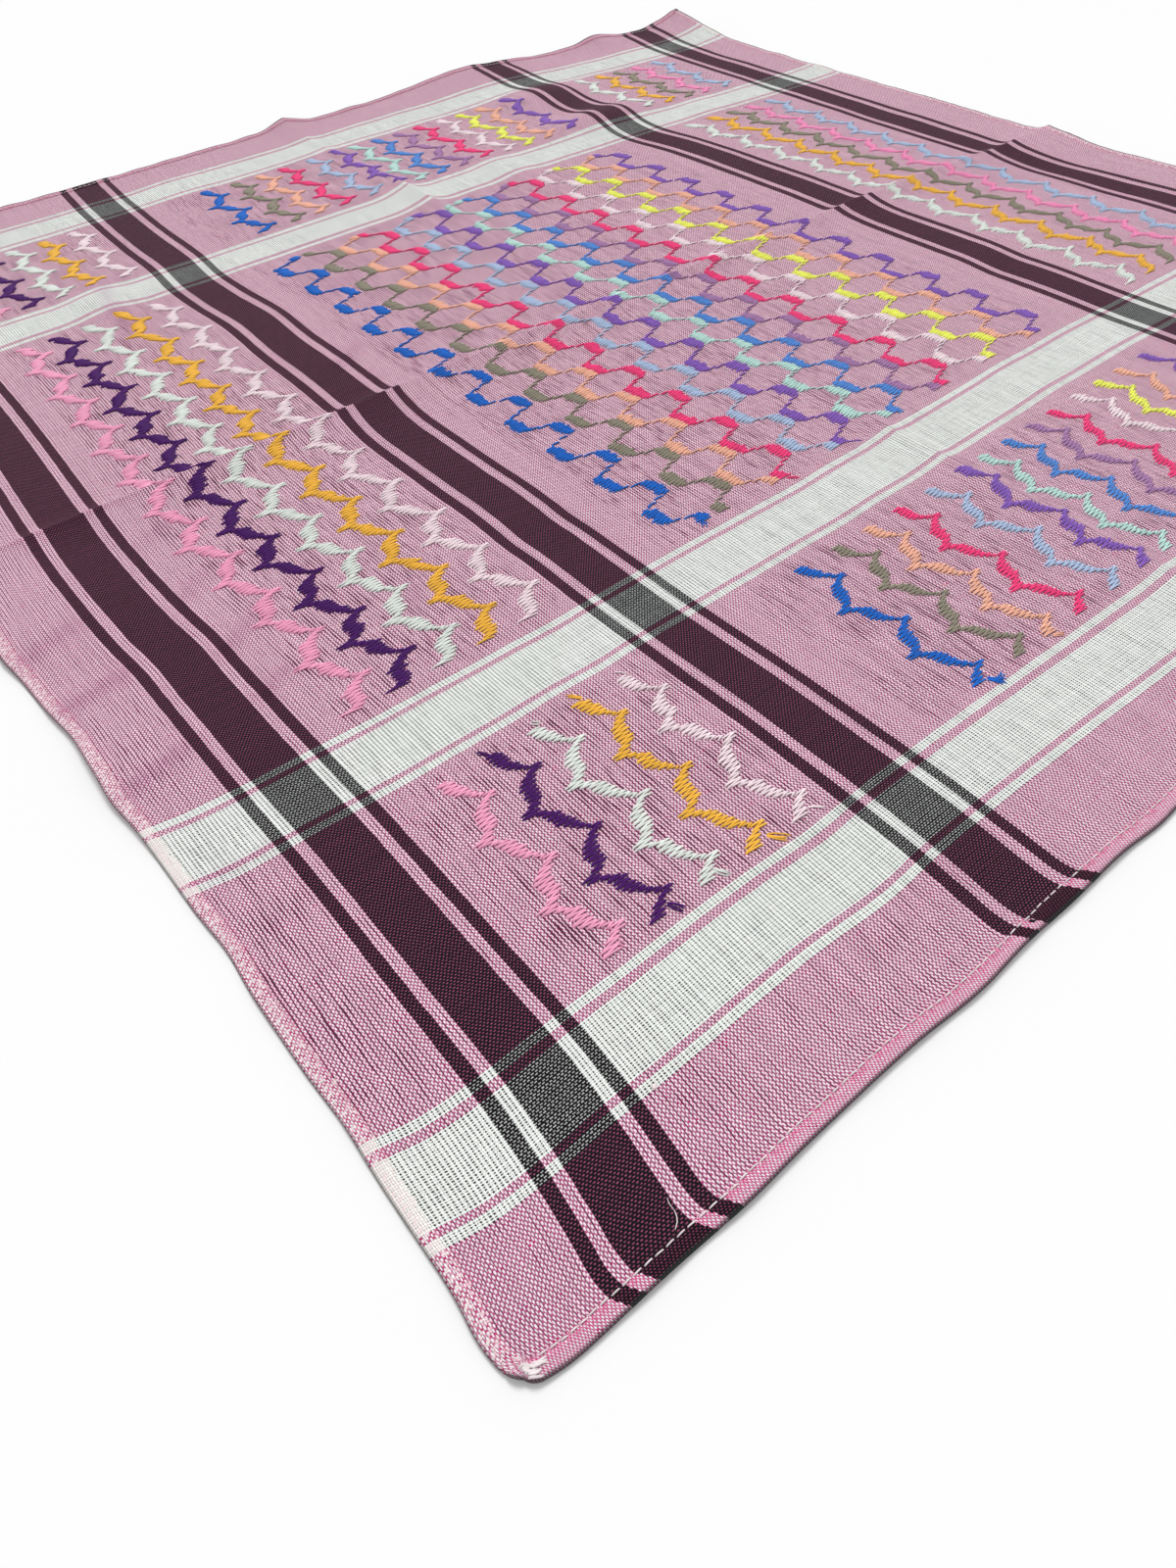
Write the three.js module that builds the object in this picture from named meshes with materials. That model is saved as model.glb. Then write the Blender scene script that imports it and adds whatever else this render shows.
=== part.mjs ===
// A square woven cotton bandana laid flat: one cloth panel with a dense selvedge band down each side
// and a narrow turned hem along each cut end. Millimetres, +Z up, with the origin under the middle of the
// cloth, on the surface it lies on. u runs across the cloth from the left selvedge and v along it from the
// near hem, both measured on the flat cut.
import * as THREE from "three";

// Driving sizes of the finished cloth
const CLOTH_WIDTH = 550;
const CLOTH_LENGTH = 575;
const PANEL_WALL = 1.0;
const SEAM_GAP = 0.3;
const CORNER_RADIUS = 6;

// Sections of the two edge bands, from the outer edge inwards: the selvedge is dense weave, the hem a
// flat roll of three layers, and both are rounded off towards the edge
const SELVEDGE_SECTION = [
  { from_edge: 0, wall: 1.0 },
  { from_edge: 1.0, wall: 1.3 },
  { from_edge: 3.3, wall: 1.3 },
];
const HEM_SECTION = [
  { from_edge: 0, wall: 1.0 },
  { from_edge: 0.9, wall: 1.6 },
  { from_edge: 3.8, wall: 1.6 },
];
const SELVEDGE_WIDTH = SELVEDGE_SECTION.at(-1).from_edge;
const HEM_WIDTH = HEM_SECTION.at(-1).from_edge;

// Grid of the walls: even steps, with finer ones beside the fold creases and across the narrow swells
const GRID_STEP = 22;
const CREASE_STEPS = [-20, -11, -5, 0, 5, 11, 20];
const NARROW_SWELL = 20;
const CLOSEST_LINES = 4;

// The cloth was stored folded in four, so two straight creases cross it. A crease has a sharp crest.
// at: where its crest lies, rise: its height where the crease starts and ends, slope: how far it runs out.
const CREASE_ACROSS = { at: 290, rise_start: 2.8, rise_end: 1.2, slope: 11 };
const CREASE_ALONG = { at: 269, rise_start: 0.8, rise_end: 1.3, slope: 9 };

// Soft swells that the cloth keeps where it doesn't settle: middle, height and reach each way
const SWELLS = [
  { name: "left edge wave", u: 6, v: 176, rise: 2.2, reach_u: 22, reach_v: 26 },
  { name: "left edge bulge", u: 10, v: 248, rise: 1.6, reach_u: 30, reach_v: 24 },
  { name: "far left stripe wave", u: 106, v: 432, rise: 2.1, reach_u: 14, reach_v: 36 },
  { name: "far left hem wave", u: 184, v: 536, rise: 1.1, reach_u: 18, reach_v: 30 },
  { name: "long crease under the far stripe", u: 271, v: 440, rise: 2.2, reach_u: 12, reach_v: 36 },
  { name: "long crease at the far hem", u: 270, v: 580, rise: 3.6, reach_u: 12, reach_v: 18 },
  { name: "beside the long crease", u: 318, v: 438, rise: 1.9, reach_u: 13, reach_v: 36 },
  { name: "far hem middle wave", u: 388, v: 588, rise: 5.0, reach_u: 42, reach_v: 42 },
  { name: "third stripe kink", u: 399, v: 462, rise: 3.8, reach_u: 34, reach_v: 13 },
  { name: "third stripe far kink", u: 396, v: 512, rise: 3.4, reach_u: 26, reach_v: 16 },
  { name: "third stripe near kink", u: 402, v: 212, rise: 0.9, reach_u: 26, reach_v: 14 },
  { name: "far right hem wave", u: 482, v: 592, rise: 5.6, reach_u: 14, reach_v: 26 },
  { name: "lifted far corner", u: 560, v: 590, rise: 8.0, reach_u: 26, reach_v: 55 },
  { name: "right edge wave", u: 548, v: 268, rise: 1.6, reach_u: 30, reach_v: 20 },
  { name: "near hem ripple", u: 235, v: 4, rise: 1.3, reach_u: 26, reach_v: 18 },
];
// The sheet lies flat on the surface wherever the creases and swells come to less than this
const SETTLED_BELOW = 0.3;

// In-plane pulls of the soft weave: middle, push each way and reach each way
const PULLS = [
  { name: "left side bulges out", u: 10, v: 262, push_u: -4.8, push_v: 0, reach_u: 150, reach_v: 82 },
  { name: "weft bows up at the selvedge", u: 0, v: 80, push_u: 0, push_v: 2.8, reach_u: 9, reach_v: 110 },
  { name: "weft bows up beside it", u: 10, v: 150, push_u: 0, push_v: 2.6, reach_u: 42, reach_v: 50 },
  { name: "second stripe dips left", u: 146, v: 424, push_u: -3.0, push_v: 0, reach_u: 60, reach_v: 24 },
  { name: "second stripe leans right", u: 140, v: 590, push_u: 4.0, push_v: 0, reach_u: 80, reach_v: 42 },
  { name: "third stripe leans out", u: 404, v: 300, push_u: 2.2, push_v: 0, reach_u: 42, reach_v: 150 },
  { name: "third stripe dips left", u: 404, v: 424, push_u: -4.6, push_v: 0, reach_u: 40, reach_v: 22 },
  { name: "third stripe leans right", u: 404, v: 548, push_u: 3.0, push_v: 0, reach_u: 40, reach_v: 48 },
  { name: "fourth stripe leans in", u: 510, v: 330, push_u: -5.2, push_v: 0, reach_u: 40, reach_v: 170 },
  { name: "fourth stripe leans right", u: 520, v: 578, push_u: 9.0, push_v: 0, reach_u: 50, reach_v: 34 },
  { name: "far right end pulled in", u: 530, v: 480, push_u: 0, push_v: -8.5, reach_u: 90, reach_v: 110 },
  { name: "far middle drawn out", u: 320, v: 545, push_u: 0, push_v: 3.6, reach_u: 110, reach_v: 90 },
  { name: "near middle drawn up", u: 350, v: 137, push_u: 0, push_v: 2.4, reach_u: 80, reach_v: 70 },
  { name: "near hem drawn out", u: 270, v: 25, push_u: 0, push_v: -3.0, reach_u: 70, reach_v: 60 },
];
// Warps lean left towards the near hem, where the needle dragged the layers along. It eases in past the
// selvedge.
const HEM_DRAG = { push: -5.5, reach: 16, fade: 250, ease_in: 20 };

const bell = (offset, reach) => Math.exp(-((offset / reach) ** 2));
const cusp = (offset, slope) => Math.exp(-Math.abs(offset) / slope);
const mix = (start, end, share) => start + (end - start) * share;

// Height of the cloth's underside over the surface at the cut's point (u, v)
function relief(u, v) {
  const across = mix(CREASE_ACROSS.rise_start, CREASE_ACROSS.rise_end, u / CLOTH_WIDTH);
  const along = mix(CREASE_ALONG.rise_start, CREASE_ALONG.rise_end, v / CLOTH_LENGTH);
  let height = across * cusp(v - CREASE_ACROSS.at, CREASE_ACROSS.slope);
  height = Math.hypot(height, along * cusp(u - CREASE_ALONG.at, CREASE_ALONG.slope));
  for (const swell of SWELLS) {
    height += swell.rise * bell(u - swell.u, swell.reach_u) * bell(v - swell.v, swell.reach_v);
  }
  return Math.max(0, height - SETTLED_BELOW);
}

// Where the cut's point (u, v) lies in plan, with the weave's pulls and the rounded corners
function plan(u, v) {
  const past_selvedge = Math.min(1, u / HEM_DRAG.ease_in);
  let x = u + HEM_DRAG.push * past_selvedge * cusp(u, HEM_DRAG.fade) * cusp(v, HEM_DRAG.reach);
  let y = v;
  for (const pull of PULLS) {
    const weight = bell(u - pull.u, pull.reach_u) * bell(v - pull.v, pull.reach_v);
    x += pull.push_u * weight;
    y += pull.push_v * weight;
  }
  const cut_back = CORNER_RADIUS * (1 - Math.SQRT1_2);
  for (const corner_u of [0, CLOTH_WIDTH]) {
    for (const corner_v of [0, CLOTH_LENGTH]) {
      const inward = cut_back * bell(Math.abs(u - corner_u) + Math.abs(v - corner_v), CORNER_RADIUS);
      x += corner_u === 0 ? inward : -inward;
      y += corner_v === 0 ? inward : -inward;
    }
  }
  return [x - CLOTH_WIDTH / 2, y - CLOTH_LENGTH / 2];
}

// Grid lines over one side of the cut: those at the crease and the narrow swells, and even ones where
// none is near
function gridLines(length, crease_at, swells) {
  const wanted = [0, length, ...CREASE_STEPS.map((step) => crease_at + step)];
  for (const { at, reach } of swells) {
    if (reach < NARROW_SWELL) {
      wanted.push(at - reach, at, at + reach);
    }
  }
  const lines = [];
  const add = (line, clearance) => {
    const free = lines.every((other) => Math.abs(other - line) > clearance);
    if (free && line >= 0 && line <= length) {
      lines.push(line);
    }
  };
  wanted.forEach((line) => add(line, CLOSEST_LINES));
  const count = Math.round(length / GRID_STEP);
  for (let i = 1; i < count; i++) {
    add((length * i) / count, GRID_STEP / 2);
  }
  return lines.sort((a, b) => a - b);
}

// The grid lines between two ends, which become the first and the last line
function linesBetween(lines, low, high) {
  const inner = lines.filter((line) => line > low + 1 && line < high - 1);
  return [low, ...inner, high];
}

// A closed wall over a grid of the cut: its underside follows the relief and its top stands wall(u, v)
// above that
function clothWall(us, vs, wall) {
  const positions = [];
  const indices = [];
  const columns = us.length;
  const rows = vs.length;
  const layer = columns * rows;
  for (const top of [0, 1]) {
    for (const v of vs) {
      for (const u of us) {
        positions.push(...plan(u, v), relief(u, v) + top * wall(u, v));
      }
    }
  }
  const quad = (a, b, c, d) => indices.push(a, b, c, a, c, d);
  for (let j = 0; j + 1 < rows; j++) {
    for (let i = 0; i + 1 < columns; i++) {
      const a = j * columns + i;
      const c = a + columns + 1;
      quad(a, a + columns, c, a + 1);
      quad(layer + a, layer + a + 1, layer + c, layer + a + columns);
    }
  }
  const edgeWall = (a, b) => quad(a, b, layer + b, layer + a);
  for (let i = 0; i + 1 < columns; i++) {
    const far = (rows - 1) * columns + i;
    edgeWall(i, i + 1);
    edgeWall(far + 1, far);
  }
  for (let j = 0; j + 1 < rows; j++) {
    const left = j * columns;
    const right = left + columns - 1;
    edgeWall(left + columns, left);
    edgeWall(right, right + columns);
  }
  const geometry = new THREE.BufferGeometry();
  geometry.setAttribute("position", new THREE.Float32BufferAttribute(positions, 3));
  geometry.setIndex(indices);
  geometry.computeVertexNormals();
  return geometry;
}

const weave = new THREE.MeshStandardMaterial({ color: 0xc99bb2, roughness: 0.92, metalness: 0 });
const denseWeave = new THREE.MeshStandardMaterial({ color: 0xdf9fb8, roughness: 0.94, metalness: 0 });
const turnedWeave = new THREE.MeshStandardMaterial({ color: 0xc88ba6, roughness: 0.93, metalness: 0 });

const acrossSwells = SWELLS.map((swell) => ({ at: swell.u, reach: swell.reach_u }));
const alongSwells = SWELLS.map((swell) => ({ at: swell.v, reach: swell.reach_v }));
const acrossLines = gridLines(CLOTH_WIDTH, CREASE_ALONG.at, acrossSwells);
const alongLines = gridLines(CLOTH_LENGTH, CREASE_ACROSS.at, alongSwells);
const insideHems = linesBetween(alongLines, HEM_WIDTH + SEAM_GAP, CLOTH_LENGTH - HEM_WIDTH - SEAM_GAP);

// Lines of an edge band's section, and the wall over each of them
const sectionLines = (section, outer, inward) =>
  section.map((row) => outer + inward * row.from_edge).sort((a, b) => a - b);
const sectionWall = (section, from_edge) =>
  section.find((row) => Math.abs(row.from_edge - from_edge) < 1e-6).wall;

function panel() {
  const side = SELVEDGE_WIDTH + SEAM_GAP;
  const insideSelvedges = linesBetween(acrossLines, side, CLOTH_WIDTH - side);
  return clothWall(insideSelvedges, insideHems, () => PANEL_WALL);
}

// A selvedge band between the two hems
function selvedge(outer_u, inward) {
  const us = sectionLines(SELVEDGE_SECTION, outer_u, inward);
  return clothWall(us, insideHems, (u) => sectionWall(SELVEDGE_SECTION, Math.abs(u - outer_u)));
}

// A hem over the whole width, with closer lines where it rounds the two corners
function hem(outer_v, inward) {
  const vs = sectionLines(HEM_SECTION, outer_v, inward);
  const atCorners = [SELVEDGE_WIDTH, 2 * SELVEDGE_WIDTH, 4 * SELVEDGE_WIDTH];
  const us = [...acrossLines, ...atCorners, ...atCorners.map((u) => CLOTH_WIDTH - u)].sort((a, b) => a - b);
  return clothWall(us, vs, (u, v) => sectionWall(HEM_SECTION, Math.abs(v - outer_v)));
}

function clothMesh(name, geometry, material) {
  const mesh = new THREE.Mesh(geometry, material);
  mesh.name = name;
  return mesh;
}

const bandana = new THREE.Group();
bandana.add(clothMesh("cloth_panel", panel(), weave));
bandana.add(clothMesh("selvedge_left", selvedge(0, 1), denseWeave));
bandana.add(clothMesh("selvedge_right", selvedge(CLOTH_WIDTH, -1), denseWeave));
bandana.add(clothMesh("hem_near", hem(0, 1), turnedWeave));
bandana.add(clothMesh("hem_far", hem(CLOTH_LENGTH, -1), turnedWeave));

// The pulls make the outline a little uneven, so the group is set with its box's middle over the origin
const box = new THREE.Box3().setFromObject(bandana);
bandana.position.set(-(box.min.x + box.max.x) / 2, -(box.min.y + box.max.y) / 2, -box.min.z);

export default bandana;
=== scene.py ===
# A square woven cotton bandana laid flat on a pale floor: dark and white stripes round the border, floated
# zigzag lines, a net of floated dashes in the middle, dense selvedges and narrow stitched hems.
# Sizes are millimetres on the flat cut until they go into a mesh: u runs across the cloth from the left
# selvedge, and v along it from the near hem.
import math

import bpy
import numpy as np
from mathutils import Matrix, Vector


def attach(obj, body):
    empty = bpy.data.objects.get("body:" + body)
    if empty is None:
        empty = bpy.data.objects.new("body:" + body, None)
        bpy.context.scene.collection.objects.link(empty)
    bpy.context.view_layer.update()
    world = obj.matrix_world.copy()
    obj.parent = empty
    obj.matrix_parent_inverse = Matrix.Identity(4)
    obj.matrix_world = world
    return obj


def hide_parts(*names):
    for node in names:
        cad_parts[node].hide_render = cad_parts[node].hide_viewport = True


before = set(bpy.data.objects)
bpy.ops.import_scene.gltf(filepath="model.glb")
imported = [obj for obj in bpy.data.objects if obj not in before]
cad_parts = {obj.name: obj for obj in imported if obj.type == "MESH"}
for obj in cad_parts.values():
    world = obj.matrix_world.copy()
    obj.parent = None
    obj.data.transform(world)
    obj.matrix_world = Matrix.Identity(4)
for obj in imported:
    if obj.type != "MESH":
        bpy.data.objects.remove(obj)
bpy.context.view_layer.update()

MM = 0.001

# Driving sizes of the finished cloth, the same as its solids have
CLOTH_WIDTH = 550.0
CLOTH_LENGTH = 575.0
CORNER_RADIUS = 6.0
SELVEDGE_WIDTH = 3.45
HEM_WIDTH = 3.95
CLOTH_THICKNESS = 0.5
PICK = 0.58
END = 0.508

# The two creases of the cloth's old fold in four: the line that each follows, its height along that line, and
# how far it runs out on the side towards the near left corner and on the other one
CREASE_ACROSS = {
    "line": ((36, 289.8), (146, 288.2), (404, 286.2), (470, 284.5), (514, 280), (550, 278.5)),
    "rise": ((0, 2.8), (CLOTH_WIDTH, 2.5)),
    "slope": 11,
    "far_slope": 3,
}
CREASE_ALONG = {
    "line": ((0, 268), (137, 268.4), (438, 266), (CLOTH_LENGTH, 266.5)),
    "rise": ((0, 1.9), (390, 1.5), (436, 3.0), (450, 3.0), (486, 1.3), (CLOTH_LENGTH, 1.3)),
    "slope": 9,
    "far_slope": 4,
}
# Lines of the mesh beside the creases
ACROSS_LINES = [268, 274, 278, 279.5, 280.5, 281.5, 283, 284.5, 286]
ACROSS_LINES += [286.8, 287.6, 288.4, 289.2, 290, 291.2, 293, 296]
ALONG_LINES = [252, 257, 261, 263.5, 265, 266, 266.8, 267.6, 268.4, 269.2, 270.2, 271.6, 273.5, 276, 279.5]
SETTLED_BELOW = 0.3

# Soft swells: middle (u, v), rise, and reach each way
SWELLS = [
    (6, 176, 2.2, 22, 26), (10, 248, 1.6, 30, 24), (106, 432, 2.1, 14, 36), (184, 536, 1.1, 18, 30),
    (266, 440, 0.9, 11, 36), (266.5, 580, 3.1, 11, 18), (318, 438, 1.9, 13, 36),
    (388, 588, 5.0, 42, 42), (399, 462, 3.8, 34, 13), (396, 512, 3.4, 26, 16), (402, 212, 0.9, 26, 14),
    (482, 592, 5.6, 14, 26), (560, 590, 8.0, 26, 55), (548, 268, 1.6, 30, 20), (235, 4, 1.3, 26, 18),
]

# In-plane pulls of the weave: middle (u, v), push (u, v), and reach each way
PULLS = [
    (10, 262, -4.8, 0, 150, 82), (0, 80, 0, 2.8, 9, 110), (10, 150, 0, 2.6, 42, 50),
    (146, 424, -3.0, 0, 60, 24), (140, 590, 4.0, 0, 80, 42), (404, 300, 2.2, 0, 42, 150),
    (404, 424, -4.6, 0, 40, 22), (404, 548, 3.0, 0, 40, 48), (510, 330, -5.2, 0, 40, 170),
    (520, 578, 9.0, 0, 50, 34), (530, 480, 0, -8.5, 90, 110), (320, 545, 0, 3.6, 110, 90),
    (350, 137, 0, 2.4, 80, 70), (270, 25, 0, -3.0, 70, 60),
]
# Small ones that only the weave and its edges show, in the same form
SMALL_PULLS = [
    (36, 14, -0.7, 0, 14, 14), (36, 52, 0.6, 0, 14, 16), (36, 155, -0.9, 0, 24, 30),
    (36, 207, 0.8, 0, 22, 11), (146, 14, -0.6, 0, 24, 14), (146, 138, -1.2, 0, 26, 34),
    (146, 186, -0.7, 0, 20, 7), (146, 210, 0.5, 0, 20, 10), (146, 267, -0.7, 0, 20, 12),
    (146, 348, -1.0, 0, 22, 17), (146, 400, -1.2, 0, 20, 14), (146, 484, -1.3, 0, 22, 34),
    (404, 146, -1.4, 0, 22, 22), (404, 200, -1.7, 0, 22, 18), (404, 275, -1.4, 0, 20, 18),
    (404, 318, 0.6, 0, 20, 10), (514, 215, -1.1, 0, 20, 20), (530, 264, -6.0, 0, 22, 40),
    (514, 340, -1.2, 0, 20, 36), (25, 39, 0, -0.7, 13, 16), (121, 30, 0, -1.1, 14, 46),
    (90, 34, 0, 0.3, 16, 30), (120, 137, 0, -0.8, 11, 24), (220, 137, 0, -0.5, 14, 24),
    (330, 137, 0, 0.8, 14, 22), (374, 137, 0, 0.9, 16, 22),
]
# The stripes slide to the right up to the crease, and stand back behind it: (u, v), slide, reach across the
# cloth, and reach before and behind the crease
CREASE_SLIDES = [
    (36, 289.8, 0.6, 20, 8, 1.5), (146, 288.2, 1.9, 24, 10, 1.5), (404, 286.2, 0.8, 24, 10, 1.5),
    (514, 280, 1.2, 24, 10, 1.5),
]
# The left and near edges' own small waves: middle along the edge, push inwards, and reach along it
LEFT_WAVES = [(10, -1.1, 7), (57, 0.6, 10), (107, 0.8, 9), (163, -0.9, 9), (193, 1.0, 11), (238, -0.9, 8)]
NEAR_WAVES = [(55, -0.5, 10), (120, -0.5, 14), (152, -0.6, 14), (186, -0.9, 9)]
LEFT_WAVE_DEPTH = 9
NEAR_WAVE_DEPTH = 9
HEM_DRAG = {"push": -5.5, "reach": 16, "fade": 250, "ease_in": 20}

# Height over the cloth's underside across each edge band: from the outer edge inwards, under and over
HEM_PROFILE = [
    (0.0, 0.42, 0.52), (0.12, 0.15, 0.84), (0.4, 0.0, 1.08), (0.9, 0.0, 1.2), (1.8, 0.0, 1.22),
    (2.7, 0.0, 1.2), (3.2, 0.0, 1.06), (3.6, 0.0, 0.84), (HEM_WIDTH, 0.0, 0.66),
]
SELVEDGE_PROFILE = [
    (0.0, 0.26, 0.36), (0.15, 0.06, 0.6), (0.6, 0.0, 0.76), (1.6, 0.0, 0.8), (2.6, 0.0, 0.76),
    (3.1, 0.0, 0.66), (SELVEDGE_WIDTH, 0.0, 0.56),
]

# Stripes, each a wide one between two thin ones: middles, and the half widths where each part starts and ends
DARK_STRIPES = {"middles": (36.1, 146.2, 403.8, 513.9), "wide": 6.5, "thin_from": 9.6, "thin_to": 12.9}
WHITE_STRIPES = {"middles": (39.0, 137.2, 437.8, 536.0), "wide": 8.15, "thin_from": 10.2, "thin_to": 12.6}

# Yarns of the floated lines: sRGB colour, and how deep the shade between and under the strands is
YARNS = {
    "hot_pink": ((255, 178, 210), 0.1),
    "bright_pink": ((255, 158, 204), 0.0),
    "dark_purple": ((80, 10, 110), 0.8),
    "pale_mint": ((240, 246, 240), 0.55),
    "amber": ((255, 198, 74), 0.45),
    "pale_pink": ((255, 236, 242), 0.55),
    "royal_blue": ((16, 112, 214), 0.6),
    "clear_blue": ((90, 150, 228), 0.5),
    "olive": ((156, 150, 132), 0.6),
    "tan": ((255, 194, 168), 0.5),
    "crimson": ((255, 70, 138), 0.4),
    "light_blue": ((188, 208, 238), 0.6),
    "purple": ((148, 102, 200), 0.5),
    "mint": ((200, 236, 228), 0.5),
    "slate_purple": ((180, 134, 184), 0.5),
    "lime": ((250, 255, 110), 0.1),
}

# The floated lines: yarn and middle u, in each column of squares
LEFT_LINES = [("hot_pink", 65.3), ("dark_purple", 79.2), ("pale_mint", 93.5), ("amber", 107.9)]
LEFT_LINES.append(("pale_pink", 123.0))
RIGHT_LINES = [("pale_mint", 429), ("amber", 444), ("olive", 458), ("bright_pink", 471.5)]
RIGHT_LINES.append(("light_blue", 486.5))
# The same for the middle column: yarn, middle u in its near and far squares, and middle u in the net
CENTRE_LINES = [
    ("royal_blue", 191.6, 182.6), ("olive", 208.0, 199.4), ("tan", 221.6, 213.2),
    ("crimson", 235.4, 227.2), ("light_blue", 252.0, 242.4), ("purple", 266.2, 256.6),
    ("mint", 278.8, 270.8), ("clear_blue", 292.2, 284.6), ("slate_purple", 306.2, 298.6),
    ("crimson", 319.4, 311.6), ("pale_pink", 334.2, 326.0), ("lime", 347.2, 340.2),
    ("tan", 360.2, 353.8), ("purple", 376.0, 367.0),
]

# Rows of squares along v: where a line starts (far end) and ends (near end), its first right-hand tip, how
# much further its strands reach than the chart has them, and how ragged their ends are
NEAR_ROW = {"far": 118.6, "near": 55.0, "tip": 108.9, "more": 0.0, "ragged": 1.0}
MIDDLE_ROW = {"far": 420.0, "near": 154.6, "tip": 409.6, "more": 0.4, "ragged": 1.5}
FAR_ROW = {"far": 519.6, "near": 455.5, "tip": 509.6, "more": 0.4, "ragged": 1.5}

# The columns and rows of squares, where the ground is most open
SQUARE_COLUMNS = [(57, 132), (168, 384), (424, 494)]
SQUARE_ROWS = [(52, 123), (151, 424), (451, 524)]

# Soft folds that end in the cloth, each a little raised and painted with shade along it: from (u, v) to (u,
# v), half width and depth
FOLDS = [
    (3, 163, 23, 171, 2.6, 0.9), (44, 176, 60, 183, 2.4, 0.7), (2, 205, 23, 211, 3.2, 0.9),
    (46, 199, 67, 213, 2.8, 0.7), (3, 126, 24, 128, 2.2, 0.5), (47, 228, 62, 240, 3.0, 0.6),
    (2, 232, 22, 240, 3.4, 0.7), (50, 262, 66, 272, 3.0, 0.5), (94, 180, 110, 196, 2.6, 0.4),
    (150, 318, 168, 330, 3.0, 0.6), (176, 372, 196, 388, 3.0, 0.5), (104, 398, 110, 452, 3.2, 0.6),
    (4, 289.0, 62, 288.2, 1.5, 0.5),
]
FOLD_RISE = 0.5

# How far the pairs of ends stand apart: everywhere, in the squares, and unevenly
OPEN_BASE = 0.42
OPEN_SQUARES = 0.62
OPEN_UNEVEN = 0.16
# The share that is lost further right, and where that starts and how far it takes
OPEN_LOSS = 0.4
OPEN_UNTIL = 240
OPEN_FADE = 150
# Where they stand further apart than elsewhere: middle (u, v), how much more, and reach each way
OPEN_PLACES = [
    (12, 92, 0.45, 15, 40), (12, 176, 0.3, 16, 30), (54, 96, 0.25, 8, 40), (66, 14, 0.12, 60, 16),
    (118, 16, 0.3, 26, 18), (6, 14, -0.24, 18, 18), (206, 62, 0.2, 24, 30), (175, 90, -0.3, 8, 40),
]

# The floated yarns go to and fro, so each strand joins the next one by turns at the right and at the left
REPEAT = 24.3
STRANDS_A_REPEAT = 38
STRAND_PITCH = REPEAT / STRANDS_A_REPEAT
STRAND_LEAN = 0.19
END_SPREAD = 0.18
LEAST_FLOAT = 0.7
# How far a line wanders from its middle, the length of these waves and their seed
LINE_WANDERS = [(0.35, 31, 11), (0.2, 9, 12)]
# How far the turns stand out or in: most of them, and a few that go further
MOST_TURNS = 0.18
RARE_TURNS = 0.42
# Past this distance from a line's middle its horns are longer than the chart has them
HORN_FROM = 6
HORN_RUN = 1.5
HORN_MORE = 1.4
# Half widths by the distance from the near left corner: the yarns lie more closely further off
FLOAT_HALF_WIDTHS = ((220, 380), (0.28, 0.32))
FLOAT_HALF_HEIGHT = 0.27

# One repeat of a leaf line from a right-hand horn towards the near hem: strand, its left and right ends from
# the line's middle, and how much further from the near hem its right end lies
LEAF_CHART = [
    (0, 3.0, 7.3, 0.3), (1, 2.7, 7.7, 0.3), (2, 1.9, 7.1, 0.3), (3, 0.4, 4.9, 0.2),
    (4, -0.6, 4.1, 0.15), (5, -1.5, 3.4, 0.15), (6, -2.4, 2.9, 0.15), (7, -2.9, 2.6, 0.15),
    (8, -3.2, 2.3, 0.15), (12, -3.3, 1.9, 0.15), (14, -3.2, 1.4, 0.2), (15, -3.6, 0.6, 0.2),
    (16, -4.4, -0.2, 0.2), (17, -6.5, -0.8, 0.1), (18, -7.8, -1.5, 0.0), (19, -7.7, -1.9, -0.1),
    (20, -6.5, -1.6, -0.2), (21, -4.5, -1.0, -0.3), (22, -3.8, -0.2, -0.35), (23, -3.3, 0.9, -0.35),
    (24, -3.1, 1.8, -0.3), (26, -3.0, 2.0, -0.25), (29, -2.7, 2.3, -0.2), (31, -2.0, 2.5, -0.2),
    (33, -0.8, 2.9, -0.2), (34, -0.1, 3.2, -0.2), (35, 0.7, 3.5, -0.1), (36, 1.6, 3.9, 0.0),
    (37, 2.3, 4.5, 0.1),
]

# One repeat of a net line from the middle of a left-hand dash: strand, the strand's middle as a share of the
# line's swing to the side, its length, and the tilt as above
NET_CHART = [
    (0, -0.98, 5.8, 0.0), (3, -0.96, 5.7, 0.0), (5, -0.92, 5.2, 0.0), (6, -0.88, 4.4, 0.1),
    (7, -0.84, 3.2, 0.1), (8, -0.46, 4.6, 0.2), (9, -0.2, 0.0, 0.0), (10, 0.3, 4.8, 0.2),
    (11, 0.8, 3.0, 0.0), (12, 0.86, 4.4, 0.0), (13, 0.94, 5.2, 0.0), (15, 0.98, 5.6, 0.0),
    (19, 1.0, 5.8, 0.0), (22, 1.02, 5.4, 0.0), (24, 1.08, 4.4, 0.1), (25, 1.12, 3.2, 0.2),
    (26, 0.44, 4.6, 0.3), (27, 0.1, 0.0, 0.0), (28, -0.3, 4.4, 0.3), (29, -0.7, 2.6, 0.1),
    (30, -1.06, 3.6, 0.0), (31, -1.08, 4.8, 0.0), (34, -1.0, 5.8, 0.0),
]
NET_FIRST_DASH = 262.7
NET_SWING = 4.75
NET_OUTER_SWING = 5.35

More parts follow.
